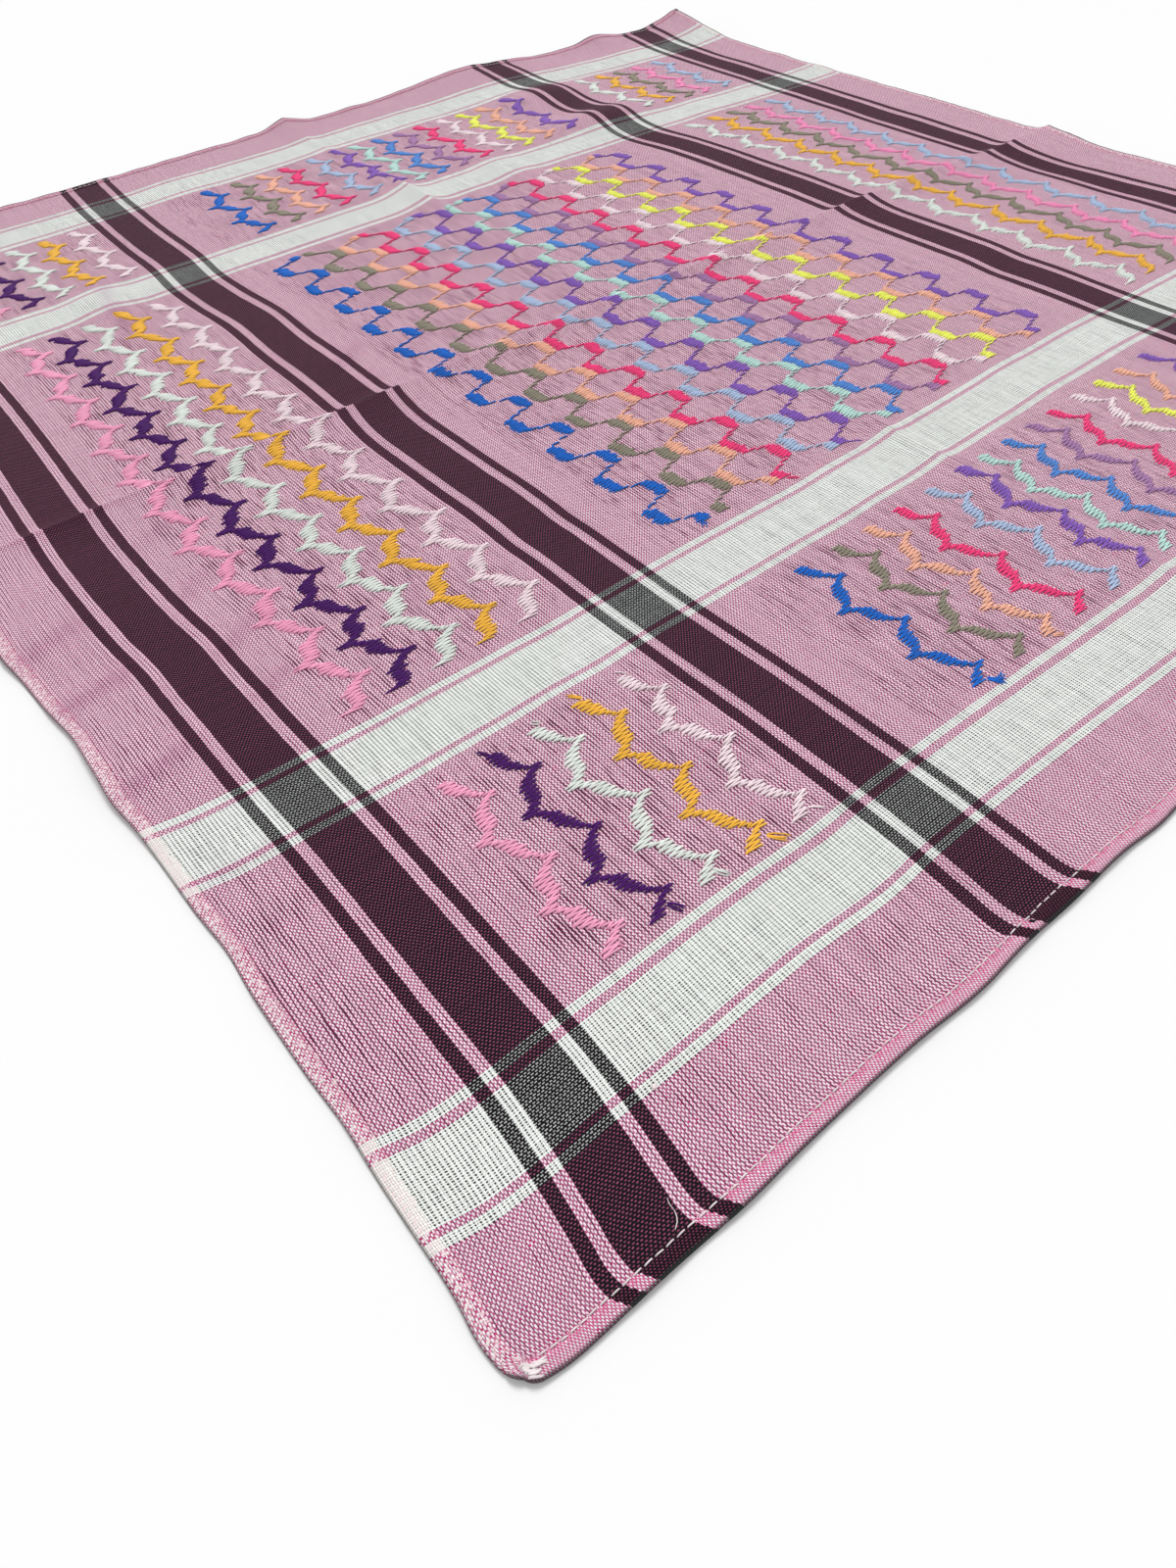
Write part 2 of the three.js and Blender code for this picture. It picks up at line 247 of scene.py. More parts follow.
# Loose yarn ends beside the squares: yarn, where one starts and ends, and its strands
TAILS = [
    ("hot_pink", (67.6, 57.0), (68.4, 54.6), 2), ("dark_purple", (82.0, 57.0), (84.2, 52.6), 4),
    ("pale_mint", (96.2, 57.0), (98.6, 53.0), 3), ("amber", (112.4, 56.6), (116.2, 52.4), 4),
    ("pale_pink", (126.0, 56.0), (129.0, 53.2), 2), ("dark_purple", (78.6, 118.6), (76.2, 121.8), 3),
    ("amber", (108.8, 119.2), (106.4, 122.6), 3), ("pale_mint", (94.6, 119.4), (92.8, 121.6), 2),
    ("pale_pink", (124.0, 119.2), (121.6, 121.8), 2), ("royal_blue", (193.6, 55.2), (196.4, 51.2), 5),
    ("royal_blue", (195.0, 53.4), (198.6, 53.6), 3), ("tan", (220.6, 54.4), (223.8, 52.6), 3),
    ("royal_blue", (186.6, 154.4), (184.6, 152.4), 4),
    ("clear_blue", (281.0, 154.8), (280.2, 152.4), 4), ("purple", (251.4, 155.0), (257.0, 151.4), 2),
    ("crimson", (222.4, 154.0), (225.8, 151.0), 2),
]

random = np.random.default_rng(7)


def bell(offset, reach):
    return np.exp(-((offset / reach) ** 2))


def cusp(offset, slope):
    return np.exp(-np.abs(offset) / slope)


def ridge(offset, slope, far_slope):
    return np.exp(-np.abs(offset) / np.where(offset > 0, far_slope, slope))


def crease_height(form, place, along):
    """Height of a crease at a place across it and along it."""
    offset = place - np.interp(along, *zip(*form["line"]))
    return np.interp(along, *zip(*form["rise"])) * ridge(offset, form["slope"], form["far_slope"])


def ripple(u, v, size, seed):
    """Smooth noise of about one unit from a few crossing waves, each about size long."""
    waves = np.random.default_rng(seed)
    total = np.zeros(np.broadcast(u, v).shape)
    for turn, stretch, start in waves.uniform(0, 1, (7, 3)):
        angle = turn * math.tau
        along = u * math.cos(angle) + v * math.sin(angle)
        total += np.sin(math.tau * (along / (size * (0.6 + 0.9 * stretch)) + start))
    return total / 2.6


# The cloth's fine waves: their height, their length, and how far in from an edge they fade
GROUND_WAVE = {"height": 0.13, "length": 42}
HEM_WAVE = {"height": 0.2, "length": 17, "fade": 9}
SIDE_WAVE = {"height": 0.16, "length": 21, "fade": 8}
INWARD_SHARE = 0.3


def fine_relief(u, v):
    """Small waves that the cloth keeps all over, stronger where the sewing and the selvedges pucker it."""
    hem = cusp(v, HEM_WAVE["fade"]) + cusp(CLOTH_LENGTH - v, HEM_WAVE["fade"])
    side = cusp(u, SIDE_WAVE["fade"]) + cusp(CLOTH_WIDTH - u, SIDE_WAVE["fade"])
    waves = GROUND_WAVE["height"] * (1 + ripple(u, v, GROUND_WAVE["length"], seed=1))
    waves += HEM_WAVE["height"] * hem * (1 + ripple(u, v * INWARD_SHARE, HEM_WAVE["length"], seed=2))
    waves += SIDE_WAVE["height"] * side * (1 + ripple(u * INWARD_SHARE, v, SIDE_WAVE["length"], seed=3))
    return waves


def relief(u, v):
    """Height of the cloth's underside over the floor."""
    height = np.hypot(crease_height(CREASE_ACROSS, v, u), crease_height(CREASE_ALONG, u, v))
    for swell_u, swell_v, rise, reach_u, reach_v in SWELLS:
        height = height + rise * bell(u - swell_u, reach_u) * bell(v - swell_v, reach_v)
    return np.maximum(0, height - SETTLED_BELOW) + fine_relief(u, v) + FOLD_RISE * fold_share(u, v)


def fold_share(u, v):
    """1 on the soft folds' middles, falling to 0 beside them and past their ends."""
    total = 0.0 * u
    for start_u, start_v, end_u, end_v, half_width, depth in FOLDS:
        run_u, run_v = end_u - start_u, end_v - start_v
        length = math.hypot(run_u, run_v)
        along = ((u - start_u) * run_u + (v - start_v) * run_v) / length
        beside = ((v - start_v) * run_u - (u - start_u) * run_v) / length
        past = np.maximum(0, np.abs(along - length / 2) - length / 2 + 3)
        total = total + depth * bell(beside, half_width) * bell(past, 4)
    return total


def in_spans(place, spans):
    """1 inside the spans of a place across or along the cloth, soft at their ends."""
    total = 0.0
    for start, end in spans:
        inside = (end - start) / 2 + 1 - np.abs(place - (start + end) / 2)
        total = total + np.clip(inside / 4, 0, 1)
    return total


def openness(u, v):
    """How far the pairs of ends stand apart."""
    total = OPEN_BASE + OPEN_SQUARES * in_spans(u, SQUARE_COLUMNS) * in_spans(v, SQUARE_ROWS)
    for middle_u, middle_v, more, reach_u, reach_v in OPEN_PLACES:
        total = total + more * bell(u - middle_u, reach_u) * bell(v - middle_v, reach_v)
    total = total * (1 - OPEN_LOSS * np.clip((u - OPEN_UNTIL) / OPEN_FADE, 0, 1))
    return np.clip(total * (1 + OPEN_UNEVEN * ripple(u, v, 34, seed=31)), 0, None)


def round_corner(u, v):
    """Moves the points of each corner's square in, so that its edge becomes an arc."""
    for corner_u, inward_u in ((0, 1), (CLOTH_WIDTH, -1)):
        for corner_v, inward_v in ((0, 1), (CLOTH_LENGTH, -1)):
            a = np.clip(CORNER_RADIUS - inward_u * (u - corner_u), 0, None)
            b = np.clip(CORNER_RADIUS - inward_v * (v - corner_v), 0, None)
            shrink = np.maximum(a, b) / np.maximum(np.hypot(a, b), 1e-9)
            inside = (a > 0) & (b > 0)
            u = np.where(inside, corner_u + inward_u * (CORNER_RADIUS - a * shrink), u)
            v = np.where(inside, corner_v + inward_v * (CORNER_RADIUS - b * shrink), v)
    return u, v


def pulled(u, v):
    """Where the cut's point lies in plan, from the cut's own near left corner."""
    past_selvedge = np.clip(u / HEM_DRAG["ease_in"], 0, 1)
    drag = HEM_DRAG["push"] * past_selvedge * cusp(u, HEM_DRAG["fade"]) * cusp(v, HEM_DRAG["reach"])
    x, y = round_corner(u, v)
    x = x + drag
    for pull_u, pull_v, push_u, push_v, reach_u, reach_v in PULLS + SMALL_PULLS:
        weight = bell(u - pull_u, reach_u) * bell(v - pull_v, reach_v)
        x = x + push_u * weight
        y = y + push_v * weight
    for slide_u, slide_v, push, reach, before, behind in CREASE_SLIDES:
        x = x + push * bell(u - slide_u, reach) * ridge(v - slide_v, before, behind)
    for middle, push, reach in LEFT_WAVES:
        x = x + push * bell(v - middle, reach) * cusp(u, LEFT_WAVE_DEPTH)
    for middle, push, reach in NEAR_WAVES:
        y = y + push * bell(u - middle, reach) * cusp(v, NEAR_WAVE_DEPTH)
    return x, y


def plan_middle():
    """Middle of the pulled outline's box, which lies over the frame's origin."""
    us = np.linspace(0, CLOTH_WIDTH, 400)
    vs = np.linspace(0, CLOTH_LENGTH, 400)
    edge_u = np.concatenate([us, us, 0 * vs, 0 * vs + CLOTH_WIDTH])
    edge_v = np.concatenate([0 * us, 0 * us + CLOTH_LENGTH, vs, vs])
    x, y = pulled(edge_u, edge_v)
    return (x.min() + x.max()) / 2, (y.min() + y.max()) / 2


MIDDLE_X, MIDDLE_Y = plan_middle()


def placed(u, v, height):
    """Points of the frame, in metres, over the cut's points at a height over the floor."""
    x, y = pulled(u, v)
    return np.stack([x - MIDDLE_X, y - MIDDLE_Y, height + 0 * x], -1) * MM


# The stripes' turns to the right by the near hem: how far, from which v on, and how late
HEM_TURNS = [(2.6, 9, 1.5), (1.9, 4.4, 1.3)]


def stripe_turn(v):
    """How far the stripes turn to the right inside the hem, where the fold dragged the layers."""
    return sum(turn * np.clip((start - v) / start, 0, 1) ** late for turn, start, late in HEM_TURNS)


def woven(u, v):
    """Where the cut's point lies in the weave's own count of ends and picks."""
    return u - stripe_turn(v), v


def add_vectors(mesh, attribute, values):
    data = mesh.attributes.new(attribute, "FLOAT_VECTOR", "POINT").data
    data.foreach_set("vector", np.ascontiguousarray(values, np.float32).ravel())


def mesh_object(name, points, faces, attribute, values):
    """An object from points, arrays of faces with the same number of corners each, and one vector a point."""
    mesh = bpy.data.meshes.new(name)
    mesh.vertices.add(len(points))
    mesh.vertices.foreach_set("co", np.ascontiguousarray(points, np.float32).ravel())
    corners = np.concatenate([f.ravel() for f in faces])
    counts = np.concatenate([np.full(len(f), f.shape[1]) for f in faces])
    mesh.loops.add(len(corners))
    mesh.loops.foreach_set("vertex_index", corners.astype(np.int32))
    mesh.polygons.add(len(counts))
    mesh.polygons.foreach_set("loop_start", (np.cumsum(counts) - counts).astype(np.int32))
    mesh.polygons.foreach_set("loop_total", counts.astype(np.int32))
    mesh.update(calc_edges=True)
    mesh.validate()
    add_vectors(mesh, attribute, values)
    mesh.shade_smooth()
    thing = bpy.data.objects.new(name, mesh)
    bpy.context.scene.collection.objects.link(thing)
    return thing


SHARP_FROM = 50


def shell(name, us, vs, under, over):
    """A closed thin wall over a grid of the cut, between two heights over the floor."""
    u, v = np.meshgrid(us, vs)
    woven_u, woven_v = woven(u, v)
    layers = [placed(u, v, under(u, v)), placed(u, v, over(u, v))]
    points = np.concatenate([layer.reshape(-1, 3) for layer in layers])
    side = np.concatenate([np.full(u.size, 1.0), np.zeros(u.size)])
    cut = np.stack([np.tile(woven_u.ravel(), 2), np.tile(woven_v.ravel(), 2), side], -1)
    rows, columns = u.shape
    index = np.arange(rows * columns).reshape(rows, columns)
    a, b = index[:-1, :-1].ravel(), index[:-1, 1:].ravel()
    c, d = index[1:, 1:].ravel(), index[1:, :-1].ravel()
    ring = np.concatenate([index[0, :-1], index[:-1, -1], index[-1, :0:-1], index[:0:-1, 0]])
    ahead = np.roll(ring, -1)
    over_start = rows * columns
    faces = [
        np.stack([a, d, c, b], -1),
        np.stack([a, b, c, d], -1) + over_start,
        np.stack([ring, ahead, ahead + over_start, ring + over_start], -1),
    ]
    thing = mesh_object(name, points, faces, "cut", cut)
    from_edge = np.minimum(np.minimum(u, CLOTH_WIDTH - u), np.minimum(v, CLOTH_LENGTH - v))
    laid = np.stack([openness(u, v).ravel(), fold_share(u, v).ravel(), from_edge.ravel()], -1)
    add_vectors(thing.data, "laid", np.tile(laid, (2, 1)))
    thing.data.set_sharp_from_angle(angle=math.radians(SHARP_FROM))
    return thing


def grid_lines(start, end, step, extra=()):
    """Even lines from start to end, with extra ones where the form turns fast."""
    even = np.linspace(start, end, round((end - start) / step) + 1)
    inside = [line for line in extra if start + 0.2 < line < end - 0.2]
    far_enough = [line for line in even if all(abs(line - other) > 0.45 * step for other in inside)]
    return np.array(sorted({start, end, *far_enough, *inside}))


PANEL_STEP = 3.1
BAND_STEP = 1.0


def make_panel():
    near_hem = [HEM_WIDTH + offset for offset in (0.5, 1.1, 2.0, 3.6, 6)]
    far_hem = [CLOTH_LENGTH - line for line in near_hem]
    left = [SELVEDGE_WIDTH + offset for offset in (0.8, 2.2, 4)]
    right = [CLOTH_WIDTH - line for line in left]
    us = grid_lines(SELVEDGE_WIDTH, CLOTH_WIDTH - SELVEDGE_WIDTH, PANEL_STEP, ALONG_LINES + left + right)
    vs = grid_lines(HEM_WIDTH, CLOTH_LENGTH - HEM_WIDTH, PANEL_STEP, ACROSS_LINES + near_hem + far_hem)
    step_up = HEM_PROFILE[-1][2] - CLOTH_THICKNESS

    def over(u, v):
        hem = cusp(v - HEM_WIDTH, 0.7) + cusp(CLOTH_LENGTH - HEM_WIDTH - v, 0.7)
        return relief(u, v) + CLOTH_THICKNESS + step_up * hem

    return shell("cloth", us, vs, relief, over)


def profile_walls(profile, from_edge):
    """Heights under and over an edge band at a distance from its outer edge."""
    distance, under, over = zip(*profile)
    return np.interp(from_edge, distance, under), np.interp(from_edge, distance, over)


def make_band(name, us, vs, profile, from_edge, extra):
    """An edge band on the cloth, from its profile across it and an extra height of its face."""

    def under(u, v):
        return relief(u, v) + profile_walls(profile, from_edge(u, v))[0]

    def over(u, v):
        return relief(u, v) + profile_walls(profile, from_edge(u, v))[1] + extra(u, v)

    return shell(name, us, vs, under, over)


# The puckers of a hem: height, length, how far in they stand and how wide
PUCKER = {"height": 0.07, "length": 2.6, "middle": 2.6, "reach": 1.6}


def make_hem(name, outer_v, inward):
    vs = np.array(sorted(outer_v + inward * row[0] for row in HEM_PROFILE))
    us = grid_lines(0, CLOTH_WIDTH, BAND_STEP, [1.5, 2.5, 3.5, 4.5, 5.5])

    def from_edge(u, v):
        return np.abs(v - outer_v)

    def pucker(u, v):
        waves = PUCKER["height"] * ripple(u, v * 0.4, PUCKER["length"], seed=5)
        return waves * bell(from_edge(u, v) - PUCKER["middle"], PUCKER["reach"])

    return make_band(name, us, vs, HEM_PROFILE, from_edge, pucker)


# The ridges that the weft's turns leave on a selvedge: height, and how far in they fade
RIDGES = {"height": 0.04, "fade": 0.8}


def make_selvedge(name, outer_u, inward):
    us = np.array(sorted(outer_u + inward * row[0] for row in SELVEDGE_PROFILE))
    vs = grid_lines(HEM_WIDTH, CLOTH_LENGTH - HEM_WIDTH, BAND_STEP)

    def from_edge(u, v):
        return np.abs(u - outer_u)

    def ridges(u, v):
        return RIDGES["height"] * np.sin(math.tau * v / (2 * PICK)) * cusp(u - outer_u, RIDGES["fade"])

    return make_band(name, us, vs, SELVEDGE_PROFILE, from_edge, ridges)


def surface(u, v):
    """Height of the cloth's face over the floor, on the hems too."""
    edge = np.minimum(v, CLOTH_LENGTH - v)
    hem_over = profile_walls(HEM_PROFILE, edge)[1]
    return relief(u, v) + np.where(edge < HEM_WIDTH, hem_over, CLOTH_THICKNESS)


# Rings along one strand: share of its length, height over the cloth's face, size of its section and lean
STRAND_RINGS = [
    (0.0, -0.26, 0.72, 0.8), (0.14, 0.22, 1.0, 1.0), (0.5, 0.36, 1.04, 0.0), (0.86, 0.22, 1.0, -1.0),
    (1.0, -0.26, 0.72, -0.8),
]
# The same along a loose end, which lies on the cloth
LOOSE_RINGS = [
    (0.0, -0.2, 0.8, 0.0), (0.2, 0.16, 1.0, 0.5), (0.4, 0.22, 1.0, 1.0), (0.6, 0.2, 0.96, 1.0),
    (0.8, 0.16, 0.9, 0.6), (1.0, 0.08, 0.6, 0.0),
]
TUBE_SIDES = 5


def ring_middles(starts, ends, share, rise, leans):
    """Middles of the rings along each yarn, which leans to its side by a step at each ring."""
    run = ends - starts
    beside = np.stack([-run[:, 1], run[:, 0]], -1) / np.linalg.norm(run, axis=-1)[:, None]
    path = starts[:, None, :] + run[:, None, :] * share[None, :, None] + beside[:, None, :] * leans[..., None]
    u, v = path[..., 0], path[..., 1]
    return placed(u, v, surface(u, v) + rise[None, :])


def ring_offsets(middles, half_width, half_height):
    """Points of a full ring, as steps from the ring's middle."""
    ahead = np.gradient(middles[..., :2], axis=1)
    ahead /= np.linalg.norm(ahead, axis=-1, keepdims=True)
    across = np.stack([-ahead[..., 1], ahead[..., 0], 0 * ahead[..., 0]], -1)
    turn = math.tau * (np.arange(TUBE_SIDES) + 0.5) / TUBE_SIDES - math.pi / 2
    widths = np.broadcast_to(half_width, (len(middles),))[:, None, None, None] * MM
    wide = across[:, :, None, :] * np.cos(turn)[None, None, :, None] * widths
    tall = np.array([0, 0, 1.0]) * np.sin(turn)[:, None] * half_height * MM
    return wide + tall[None, None]


def tubes(name, starts, ends, half_width, half_height, rings=STRAND_RINGS, lean=0.0):
    """Short yarns, joined in one mesh, each a closed tube from its start to its end on the cut."""
    share, rise, swell, sway = (np.array(column) for column in zip(*rings))
    count = len(starts)
    leans = np.broadcast_to(lean, (count,))[:, None] * sway
    middles = ring_middles(starts, ends, share, rise, leans)
    offsets = ring_offsets(middles, half_width, half_height) * swell[None, :, None, None]
    points = middles[:, :, None, :] + offsets
    shape = points.shape[:3]
    length = np.linalg.norm(ends - starts, axis=-1)
    along = np.broadcast_to((share * length[:, None])[..., None], shape)
    around = np.broadcast_to((np.arange(TUBE_SIDES) + 0.5) / TUBE_SIDES, shape)
    tint = np.broadcast_to(random.uniform(0, 1, count)[:, None, None], shape)
    values = np.stack([along, around, tint], -1)
    index = np.arange(math.prod(shape)).reshape(shape)
    next_side = np.roll(index, -1, axis=2)
    quads = np.stack([index[:, :-1], next_side[:, :-1], next_side[:, 1:], index[:, 1:]], -1).reshape(-1, 4)
    caps = np.concatenate([index[:, 0, ::-1], index[:, -1]])
    return mesh_object(name, points.reshape(-1, 3), [quads, caps], "yarn", values.reshape(-1, 3))


def strands(row, tip, middle, line_ends):
    """Starts, ends and leans of one line's strands down a row of squares.

    line_ends gives each strand's left and right end from the line's middle, and its tilt, by its number.
    """
    first = math.ceil((tip - row["far"]) / STRAND_PITCH)
    last = math.floor((tip - row["near"]) / STRAND_PITCH)
    number = np.arange(first, last + 1)
    at_v = tip - number * STRAND_PITCH
    left, right, tilt = line_ends(number % STRANDS_A_REPEAT)
    middles = 0 * at_v + middle
    wander = sum(far * ripple(at_v, middles, length, seed) for far, length, seed in LINE_WANDERS)
    turns = random.uniform(-1, 1, (2, len(number)))
    turn_left, turn_right = (MOST_TURNS * turns + RARE_TURNS * turns**3) * row["ragged"]
    left = left + wander + middle + turn_left[(number + 1) // 2 - (first + 1) // 2]
    right = right + wander + middle + turn_right[number // 2 - first // 2]
    left = left + random.uniform(-END_SPREAD, END_SPREAD, len(number))
    right = right + random.uniform(-END_SPREAD, END_SPREAD, len(number))
    starts = np.stack([left, at_v - tilt / 2], -1)
    ends = np.stack([right, at_v + tilt / 2], -1)
    leans = np.where(number % 2, -STRAND_LEAN, STRAND_LEAN)
    shown = right - left > LEAST_FLOAT
    return starts[shown], ends[shown], leans[shown]


def chart_columns(chart, number):
    """A chart's columns at strands of these numbers, round and round in one repeat."""
    strand, *columns = zip(*chart)
    return (np.interp(number, strand, column, period=STRANDS_A_REPEAT) for column in columns)


def leaf_ends(more):
    """Ends of a leaf line's strands, further out than the chart has them, and most of all on the horns."""

    def ends(number):
        left, right, tilt = chart_columns(LEAF_CHART, number)
        left = left - more * (1 + HORN_MORE * np.clip((-left - HORN_FROM) / HORN_RUN, 0, 1))
        right = right + more * (1 + HORN_MORE * np.clip((right - HORN_FROM) / HORN_RUN, 0, 1))
        return left, right, tilt

    return ends


def net_ends(swing):
    """Ends of a net line's strands, whose dashes swing to both sides by this much."""

    def ends(number):
        side, length, tilt = chart_columns(NET_CHART, number)
        return side * swing - length / 2, side * swing + length / 2, tilt

    return ends


def line_strands():
    """All strands, by the name of their yarn."""
    by_yarn = {yarn: [] for yarn in YARNS}
    panel_lines = [(yarn, panel_middle) for yarn, panel_middle, net_middle in CENTRE_LINES]
    for row in (NEAR_ROW, MIDDLE_ROW, FAR_ROW):
        lines = LEFT_LINES + RIGHT_LINES + (panel_lines if row is not MIDDLE_ROW else [])
        for yarn, middle in lines:
            by_yarn[yarn].append(strands(row, row["tip"], middle, leaf_ends(row["more"])))
    for i, (yarn, panel_middle, net_middle) in enumerate(CENTRE_LINES):
        dash = NET_FIRST_DASH - (REPEAT / 2 if i % 2 else 0)
        swing = NET_SWING if i else NET_OUTER_SWING
        by_yarn[yarn].append(strands(MIDDLE_ROW, dash, net_middle, net_ends(swing)))
    return by_yarn


# The strands of a loose end: pitch, share of it at the starts and at the ends, and half width and height
TAIL_PITCH = 0.34
TAIL_STARTS = 0.7
TAIL_ENDS = 1.7
TAIL_SIZE = (0.2, 0.18)


def tail_strands():
    """The loose ends, by the name of their yarn: a few strands that part from each other."""
    by_yarn = {yarn: [] for yarn in YARNS}
    for yarn, start, end, count in TAILS:
        start, end = np.array(start), np.array(end)
        spread = (np.arange(count) - (count - 1) / 2)[:, None] * TAIL_PITCH
        run = (end - start) / np.linalg.norm(end - start)
        beside = np.array([-run[1], run[0]])
        starts = start + beside * spread * TAIL_STARTS + run * random.uniform(-0.3, 0.3, (count, 1))
        ends = end + beside * spread * TAIL_ENDS + run * random.uniform(-0.9, 0.5, (count, 1))
        by_yarn[yarn].append((starts, ends, random.uniform(-0.35, 0.35, count)))
    return by_yarn


def join_parts(parts, name):
    """One piece from several meshes of the same yarn."""
    whole = parts[0]
    if len(parts) > 1:
        with bpy.context.temp_override(active_object=whole, selected_editable_objects=parts):
            bpy.ops.object.join()
    whole.name = name
    whole.data.name = name
    return whole


def make_floats():
    pieces = []
    tails = tail_strands()
    for yarn, lines in line_strands().items():
        starts, ends, leans = (np.concatenate(column) for column in zip(*lines))
        half_widths = np.interp(np.hypot(*starts.T), *FLOAT_HALF_WIDTHS)
        parts = [tubes("floats_" + yarn, starts, ends, half_widths, FLOAT_HALF_HEIGHT, lean=leans)]
        if tails[yarn]:
            starts, ends, leans = (np.concatenate(column) for column in zip(*tails[yarn]))
            parts.append(tubes("tails_" + yarn, starts, ends, *TAIL_SIZE, rings=LOOSE_RINGS, lean=leans))
        piece = join_parts(parts, "floats_" + yarn)
        colour, depth = YARNS[yarn]
        piece.data.materials.append(yarn_material(yarn, colour, depth))
        pieces.append(piece)
    return pieces


# The hems' machine stitches: place in from the edge, pitch, share of it that shows, and a row's start and end
STITCH_LINE = 3.7
STITCH_PITCH = 2.5
STITCH_SHARE = 0.84
STITCH_ROW = (7.5, CLOTH_WIDTH - 4)
# Half width and height of the thread
STITCH_SIZE = (0.17, 0.15)


def make_stitches(name, at_v):
    """A row of machine stitches that holds a hem down."""
    starts_u = np.arange(*STITCH_ROW, STITCH_PITCH)
    count = len(starts_u)
    wander = 0.16 * ripple(starts_u, 0 * starts_u, 34, seed=21)
    starts = np.stack([starts_u, at_v + wander + random.uniform(-0.08, 0.08, count)], -1)
    runs = np.stack([np.full(count, STITCH_PITCH * STITCH_SHARE), random.uniform(-0.1, 0.2, count)], -1)
    return tubes(name, starts, starts + runs, *STITCH_SIZE)


# Short threads near the near edge: where each starts and ends, how far it bows, and its half width
BAR_TACK = [
    ((1.5, 1.5), (6.0, 2.7), 0.3, 0.36), ((2.0, 2.1), (5.8, 1.9), -0.2, 0.36),
    ((1.6, 2.6), (7.0, 2.3), 0.2, 0.34), ((2.3, 1.0), (5.4, 3.0), 0.1, 0.34),
    ((3.4, 3.1), (8.4, 2.5), -0.3, 0.3), ((4.6, 2.0), (8.6, 2.9), 0.3, 0.26),
    ((5.4, 3.2), (8.2, 2.1), 0.1, 0.26), ((2.6, 0.7), (6.2, 0.6), 0.2, 0.28),
    ((3.0, 1.6), (6.6, 1.7), -0.2, 0.34),
]
KNOT = [
    ((51.8, 26.6), (53.1, 27.4), 0.1, 0.34), ((52.0, 27.5), (53.0, 26.6), -0.1, 0.34),
    ((52.5, 26.3), (52.4, 27.8), 0.0, 0.3),
]
LOOSE_THREADS = [
    ((40.3, 4.6), (42.2, 7.4), -0.5, 0.12), ((42.2, 7.3), (42.3, 9.8), 0.2, 0.1),
    ((223.5, 20.7), (213.3, 12.1), 1.6, 0.2),
]


THREAD_HALF_HEIGHT = 0.17


def make_threads(name, threads):
    """Loose short threads, which lie on the cloth, in one mesh."""
    starts, ends, bows, half_widths = (np.array(column) for column in zip(*threads))
    return tubes(name, starts, ends, half_widths, THREAD_HALF_HEIGHT, rings=LOOSE_RINGS, lean=bows)


def linear(colour):
    """An sRGB colour of 0 to 255 as the linear one that a shader takes."""
    share = [channel / 255 for channel in colour]
    return [c / 12.92 if c <= 0.04045 else ((c + 0.055) / 1.055) ** 2.4 for c in share] + [1.0]


def node_adder(operation):
    return lambda value, *others: value.graph.math(operation, value, *others)


class Value:
    """A number in a material. A sign or function used on it adds a node, and a comparison gives 1 or 0."""

    __add__ = node_adder("ADD")
    __sub__ = node_adder("SUBTRACT")
    __mul__ = node_adder("MULTIPLY")
    __mod__ = node_adder("MODULO")
    __truediv__ = node_adder("DIVIDE")
    __gt__ = node_adder("GREATER_THAN")
    __lt__ = node_adder("LESS_THAN")
    __abs__ = node_adder("ABSOLUTE")
    __floor__ = node_adder("FLOOR")
    most = node_adder("MAXIMUM")
    least = node_adder("MINIMUM")
    cos = node_adder("COSINE")
    sin = node_adder("SINE")
    sqrt = node_adder("SQRT")
    fract = node_adder("FRACT")

    def __init__(self, graph, socket):
        self.graph = graph
        self.socket = socket

    def __rsub__(self, other):
        return self.graph.math("SUBTRACT", other, self)

    def map(self, low, high, to_low=0.0, to_high=1.0):
        inputs = {"Value": self, "From Min": low, "From Max": high, "To Min": to_low, "To Max": to_high}
        return self.graph.node("ShaderNodeMapRange", inputs, "Result")

    def choose(self, at_none, at_full):
        return self.map(0.0, 1.0, at_none, at_full)


